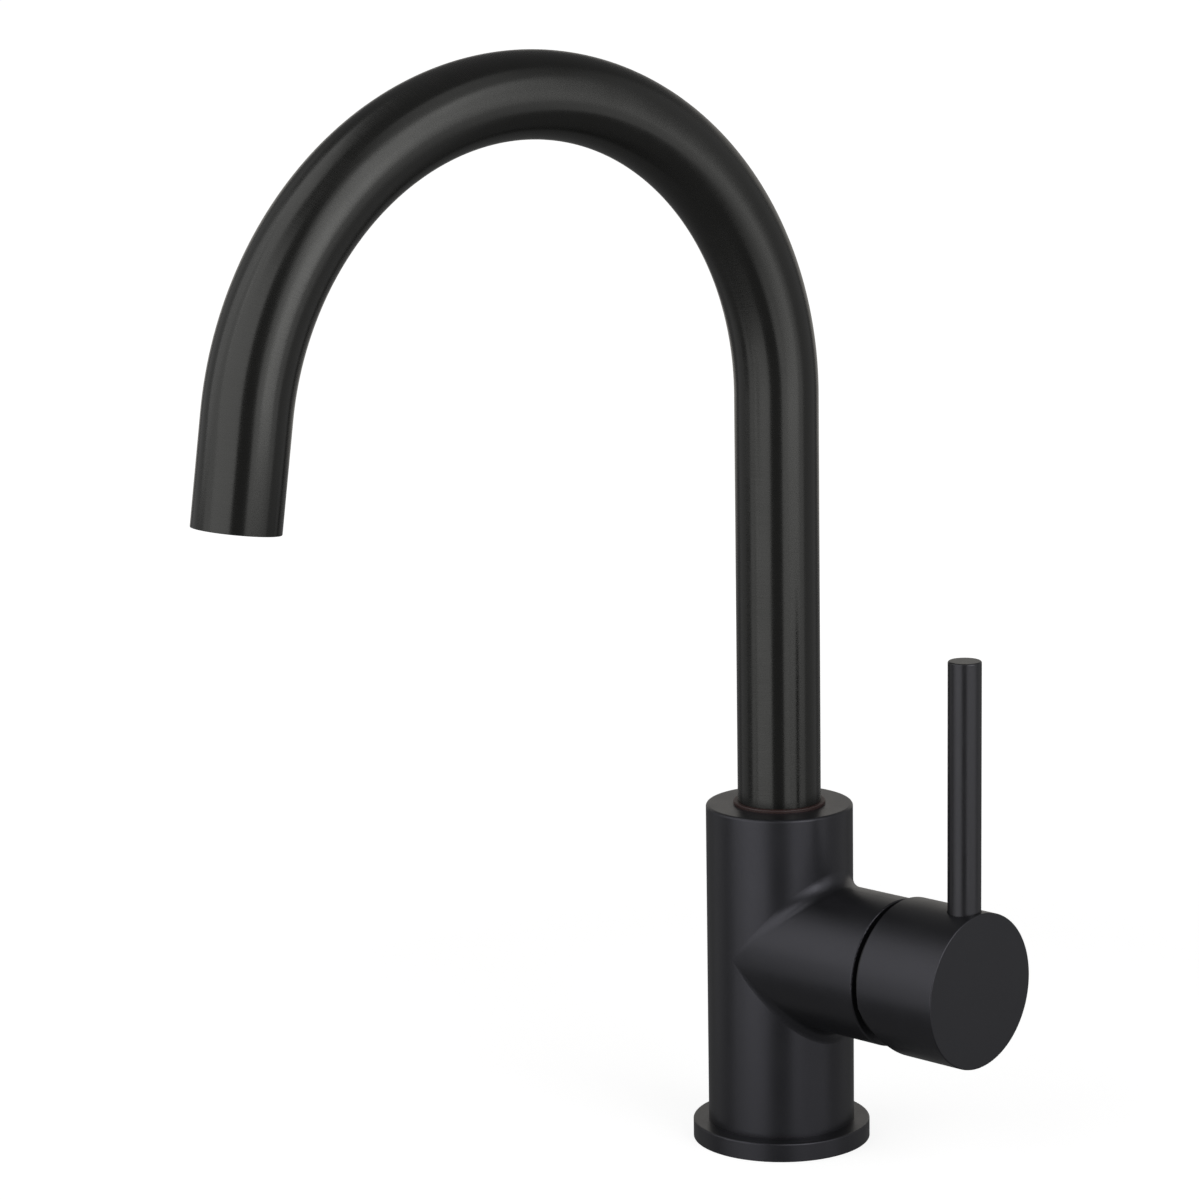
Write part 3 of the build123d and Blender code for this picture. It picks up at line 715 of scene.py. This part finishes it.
@dataclass
class DeckFixings:
    """Stud, washers and nut that clamp the faucet to the deck."""

    shop: Workshop
    stud_x: float = -13.0 * MM
    stud_foot: float = -59.5 * MM
    stud_head: float = 13.0 * MM
    stud_radius: float = 3.95 * MM
    pitch: float = 1.25 * MM
    thread_depth: float = 0.65 * MM
    thread_sides: int = 28
    run_out: float = 1.5
    point: float = 1.0 * MM
    nut_top: float = -35.0 * MM
    nut_thickness: float = 6.5 * MM
    nut_flats: float = 13.0 * MM
    nut_bore: float = 4.0 * MM
    nut_lead: float = 0.5 * MM
    nut_face: float = 0.97
    nut_slope: float = math.radians(30)
    nut_sides: int = 96

    def build(self) -> None:
        """Build and dress the fixings."""
        self.stud()
        self.nut()
        self.shop.dress("steel", "steel_horseshoe_washer")
        self.shop.dress("rubber", "rubber_horseshoe_washer")

    def stud(self) -> bpy.types.Object:
        """Spin one thread's outline up a helix, cut it to length and turn its ends down.

        Returns:
            The threaded stud.
        """
        piece = Piece("threaded_stud")
        bm = piece.bm
        root = self.stud_radius - self.thread_depth
        start = self.stud_foot - self.run_out * self.pitch
        verts = [
            bm.verts.new(
                (self.stud_x + root + out * self.thread_depth, 0, start + up * self.pitch)
            )
            for out, up in THREAD_OUTLINE
        ]
        edges = [bm.edges.new(pair) for pair in zip(verts, verts[1:])]
        turns = math.ceil((self.stud_head - start) / self.pitch) + 1
        bmesh.ops.spin(
            bm,
            geom=verts + edges,
            cent=(self.stud_x, 0, 0),
            axis=(0, 0, 1),
            dvec=(0, 0, self.pitch / self.thread_sides),
            angle=2 * math.pi * turns,
            steps=self.thread_sides * turns,
        )
        bmesh.ops.remove_doubles(bm, verts=bm.verts, dist=LEVEL)
        self.cut(bm, self.stud_foot, -1)
        self.cut(bm, self.stud_head, 1)
        for vert in bm.verts:
            arm = Vector((vert.co.x - self.stud_x, vert.co.y))
            end = min(vert.co.z - self.stud_foot, self.stud_head - vert.co.z)
            room = self.stud_radius - self.point + end
            if arm.length > room:
                arm *= room / arm.length
                vert.co.x, vert.co.y = self.stud_x + arm.x, arm.y
        return piece.finish("body", self.shop.paint["rod"], "plain_steel", ("mounting_stud",))

    @staticmethod
    def cut(bm: bmesh.types.BMesh, level: float, side: int) -> None:
        """Cut the mesh off at a level and close it there.

        Args:
            bm: Mesh being built.
            level: Height of the cut.
            side: 1 to take off what is above it and -1 for what is below.
        """
        cut = bmesh.ops.bisect_plane(
            bm,
            geom=list(bm.verts) + list(bm.edges) + list(bm.faces),
            dist=WELD,
            plane_co=(0, 0, level),
            plane_no=(0, 0, side),
            clear_outer=True,
        )["geom_cut"]
        rim = [g for g in cut if isinstance(g, bmesh.types.BMEdge)]
        bmesh.ops.edgeloop_fill(bm, edges=rim)

    def nut(self) -> bpy.types.Object:
        """Join rings that follow the hexagon, its corner chamfers and the bore.

        Returns:
            The nut.
        """
        piece = Piece("chamfered_nut")
        low = self.nut_thickness
        face = self.nut_face * self.nut_flats / 2
        rings = [
            self.nut_ring(piece.bm, drop, radius)
            for drop, radius in (
                (self.nut_lead, self.nut_bore),
                (0.0, self.nut_bore + self.nut_lead),
                (0.0, face),
                (0.0, None),
                (low, None),
                (low, face),
                (low, self.nut_bore + self.nut_lead),
                (low - self.nut_lead, self.nut_bore),
            )
        ]
        for first, second in zip(rings, rings[1:] + rings[:1]):
            piece.band(first, second)
        return piece.finish("body", self.shop.paint["steel"], "plain_steel", ("mounting_nut",))

    def nut_ring(
        self, bm: bmesh.types.BMesh, drop: float, radius: float | None
    ) -> list[bmesh.types.BMVert]:
        """Lay one ring of the nut.

        Args:
            bm: Mesh being built.
            drop: How far below the nut's top.
            radius: Radius of a round ring, or None for one that follows the hexagon.

        Returns:
            The ring's vertices.
        """
        flat = self.nut_flats / 2
        sixth = math.pi / 3
        away = -1 if drop < self.nut_thickness / 2 else 1
        made = bmesh.ops.create_circle(bm, segments=self.nut_sides, radius=radius or flat)
        for vert in made["verts"]:
            if radius is None:
                turn = math.atan2(vert.co.y, vert.co.x)
                reach = flat / math.cos((turn + sixth / 2) % sixth - sixth / 2)
                slope = (reach - self.nut_face * flat) * math.tan(self.nut_slope)
                vert.co = (reach * math.cos(turn), reach * math.sin(turn), away * slope)
            vert.co.x += self.stud_x
            vert.co.z += self.nut_top - drop
        return made["verts"]


@dataclass(frozen=True)
class Softbox:
    """A large soft lamp that looks at the faucet from a bearing round it."""

    name: str
    bearing: float
    height: float
    spread: float
    rise: float
    radiance: float
    tint: Colour = (1.0, 1.0, 1.0)
    distance: float = 0.9
    aim: Point = (0.0, -0.04, 0.17)
    lens_bearing: float = -48.9

    def build(self) -> None:
        """Hang the lamp, with its bearing counted from the camera towards its right."""
        turn = math.radians(self.lens_bearing + self.bearing)
        climb = math.radians(self.height)
        out = Vector(
            (math.cos(turn) * math.cos(climb), math.sin(turn) * math.cos(climb), math.sin(climb))
        )
        light = bpy.data.lights.new(self.name, "AREA")
        light.shape = "RECTANGLE"
        light.size = 2 * self.distance * math.tan(math.radians(self.spread) / 2)
        light.size_y = 2 * self.distance * math.tan(math.radians(self.rise) / 2)
        light.energy = self.radiance * light.size * light.size_y * math.pi
        light.color = self.tint
        lamp = bpy.data.objects.new(self.name, light)
        bpy.context.scene.collection.objects.link(lamp)
        lamp.location = Vector(self.aim) + out * self.distance
        lamp.rotation_mode = "QUATERNION"
        lamp.rotation_quaternion = (-out).to_track_quat("-Z", "Y")
        lamp.visible_camera = False


@dataclass
class Studio:
    """Pale floor, white surround, soft lamps and the camera."""

    ambient: float = 0.11
    mirrored_share: float = 0.04
    floor_size: float = 12.0
    floor_albedo: float = 0.30
    floor_roughness: float = 0.9
    floor_glow: float = 0.84
    floor_gap: float = 0.05 * MM
    shade_reach: float = 0.25
    glow_reach: float = 1.0
    camera_place: Point = (0.826536, -0.947841, 0.422901)
    camera_right: Point = (0.72688022, 0.68659413, -0.01528557)
    camera_up: Point = (-0.1246218, 0.15375652, 0.98021852)
    camera_forward: Point = (-0.67536253, 0.71059654, -0.19732717)
    lens: float = 126.958
    sensor: float = 36.0
    near: float = 0.01
    far: float = 100.0
    boxes: tuple[Softbox, ...] = field(
        default_factory=lambda: (
            Softbox("left box", -40.0, 10.0, 48.0, 72.0, 1.50),
            Softbox("left box margin", -72.0, 10.0, 16.0, 72.0, 1.00),
            Softbox("left flank box", -88.0, 22.0, 16.0, 48.0, 1.12),
            Softbox("far left wall", -112.0, 10.0, 32.0, 72.0, 0.25),
            Softbox("upper left box", -72.0, 58.0, 32.0, 24.0, 1.38),
            Softbox("right box inner margin", 24.0, 10.0, 16.0, 72.0, 1.31),
            Softbox("right box top", 48.0, 34.0, 32.0, 24.0, 2.42),
            Softbox("right box core", 48.0, 10.0, 32.0, 24.0, 3.15),
            Softbox("right box foot", 48.0, -14.0, 32.0, 24.0, 0.90),
            Softbox("right box outer margin", 72.0, 10.0, 16.0, 72.0, 0.86),
            Softbox("far right wall", 104.0, 10.0, 48.0, 72.0, 0.22),
            Softbox("upper right box", 56.0, 58.0, 32.0, 24.0, 0.72),
            Softbox("rear wall", 180.0, 8.0, 80.0, 36.0, 0.38, tint=(1.0, 0.96, 0.88)),
        )
    )

    def build(self) -> None:
        """Set up everything that isn't the faucet."""
        self.surround()
        self.floor()
        for box in self.boxes:
            box.build()
        self.camera()
        bpy.context.scene.view_settings.view_transform = "Standard"

    @staticmethod
    def maths(
        tree: bpy.types.NodeTree, operation: str, *values: bpy.types.NodeSocket | float
    ) -> bpy.types.NodeSocket:
        """Calculate with sockets and constants.

        Args:
            tree: Node tree to add to.
            operation: Name of the operation.
            values: What it takes, in order.

        Returns:
            The result.
        """
        made = tree.nodes.new("ShaderNodeMath")
        made.operation = operation
        for value, entry in zip(values, made.inputs):
            if isinstance(value, float):
                entry.default_value = value
            else:
                tree.links.new(value, entry)
        return made.outputs["Value"]

    @staticmethod
    def grade(
        tree: bpy.types.NodeTree,
        value: bpy.types.NodeSocket,
        source: tuple[float, float],
        target: tuple[float, float],
    ) -> bpy.types.NodeSocket:
        """Map one range onto another and hold its ends.

        Args:
            tree: Node tree to add to.
            value: Value to map.
            source: Ends of the range it comes from.
            target: Ends of the range it goes to.

        Returns:
            The mapped value.
        """
        made = tree.nodes.new("ShaderNodeMapRange")
        for name, level in zip(("From Min", "From Max", "To Min", "To Max"), source + target):
            made.inputs[name].default_value = level
        tree.links.new(value, made.inputs["Value"])
        return made.outputs["Result"]

    def surround(self) -> None:
        """Make the world white to the camera and through glass, and dim to the faucet.

        The black coat mirrors two boxes in a dark room, so a glossy ray gets a small share of
        the white.
        """
        world = bpy.data.worlds.new("white surround")
        world.use_nodes = True
        tree = world.node_tree
        ground = tree.nodes["Background"]
        ground.inputs["Color"].default_value = (1, 1, 1, 1)
        path = tree.nodes.new("ShaderNodeLightPath").outputs
        clear = self.maths(tree, "MAXIMUM", path["Is Camera Ray"], path["Is Transmission Ray"])
        share = self.mirrored_share
        white = self.maths(tree, "MULTIPLY_ADD", path["Is Glossy Ray"], share, clear)
        level = self.grade(tree, white, (0.0, 1.0), (self.ambient, 1.0))
        tree.links.new(level, ground.inputs["Strength"])
        bpy.context.scene.world = world

    def floor(self) -> None:
        """Lay the deck that the faucet stands on, white to the camera but for the shadow."""
        bm = bmesh.new()
        bmesh.ops.create_grid(bm, x_segments=1, y_segments=1, size=self.floor_size)
        mesh = bpy.data.meshes.new("deck")
        bm.to_mesh(mesh)
        bm.free()
        deck = bpy.data.objects.new("deck", mesh)
        bpy.context.scene.collection.objects.link(deck)
        material = bpy.data.materials.new("pale deck")
        material.use_nodes = True
        tree = material.node_tree
        shader = tree.nodes["Principled BSDF"]
        shader.inputs["Base Color"].default_value = (*[self.floor_albedo] * 3, 1)
        shader.inputs["Roughness"].default_value = self.floor_roughness
        shader.inputs["Specular IOR Level"].default_value = 0.0
        shader.inputs["Emission Color"].default_value = (1, 1, 1, 1)
        place = tree.nodes.new("ShaderNodeTexCoord")
        reach = tree.nodes.new("ShaderNodeVectorMath")
        reach.operation = "LENGTH"
        tree.links.new(place.outputs["Object"], reach.inputs[0])
        level = self.grade(
            tree,
            reach.outputs["Value"],
            (self.shade_reach, self.glow_reach),
            (self.floor_glow, 1.0),
        )
        path = tree.nodes.new("ShaderNodeLightPath").outputs
        clear = self.maths(tree, "MAXIMUM", path["Is Camera Ray"], path["Is Transmission Ray"])
        glow = self.maths(tree, "MULTIPLY", clear, level)
        tree.links.new(glow, shader.inputs["Emission Strength"])
        mesh.materials.append(material)
        deck.location.z = -self.floor_gap
        deck.visible_glossy = False
        deck.visible_shadow = False

    def camera(self) -> None:
        """Put the camera where the photograph was taken."""
        data = bpy.data.cameras.new("photo camera")
        data.lens = self.lens
        data.sensor_width = self.sensor
        data.clip_start = self.near
        data.clip_end = self.far
        camera = bpy.data.objects.new("photo camera", data)
        bpy.context.scene.collection.objects.link(camera)
        back = [-c for c in self.camera_forward]
        axes = Matrix((self.camera_right, self.camera_up, back)).transposed()
        camera.matrix_world = Matrix.Translation(self.camera_place) @ axes.to_4x4()
        bpy.context.scene.camera = camera


def main() -> None:
    """Build the faucet and its studio."""
    logging.basicConfig(level=logging.INFO, format="%(name)s: %(message)s")
    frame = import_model()
    shop = Workshop(frame["nodes"])
    for assembly in (Spout, Casting, Lever, Cartridge, DeckFixings):
        log.info("building %s", assembly.__name__)
        assembly(shop).build()
    Studio().build()


if __name__ == "__main__":
    main()
